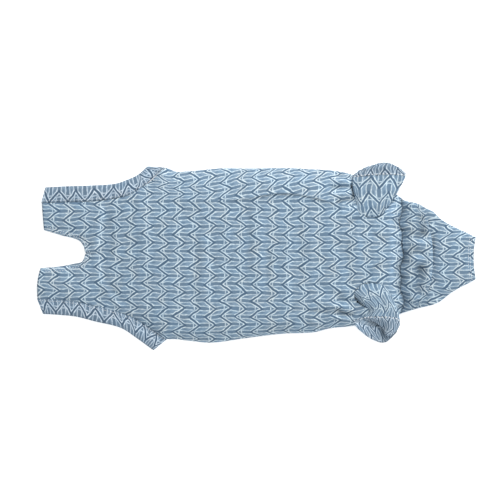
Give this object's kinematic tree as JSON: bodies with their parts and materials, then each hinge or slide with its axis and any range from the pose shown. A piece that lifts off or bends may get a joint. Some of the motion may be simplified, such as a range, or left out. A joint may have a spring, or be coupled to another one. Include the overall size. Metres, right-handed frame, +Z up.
{
  "type": "cat recovery suit",
  "caption": "Stretch-jersey bodysuit for a cat, laid flat belly side up, with a collar tube, front sleeves, open rear leg holes and a tail notch.",
  "frame": {"origin": "middle of the suit's footprint, on the surface that its back layer lies on", "axes": "+X along the body towards the collar, +Y towards the side shown at the picture's top, +Z up out of the belly"},
  "size_m": [0.5008, 0.2128, 0.029],
  "materials": {
    "printed_jersey": "matt knitted jersey with a pale chevron print on dusty blue",
    "band_jersey": "matt knitted jersey, the same print turned a quarter"
  },
  "bodies": {
    "root": {"back_panel": "printed_jersey", "belly_panel": "printed_jersey", "collar": "printed_jersey", "sleeve_right": "printed_jersey", "sleeve_left": "printed_jersey", "cuff_right": "band_jersey", "cuff_left": "band_jersey", "leg_band_right": "band_jersey", "leg_band_left": "band_jersey"}
  },
  "joints": []
}
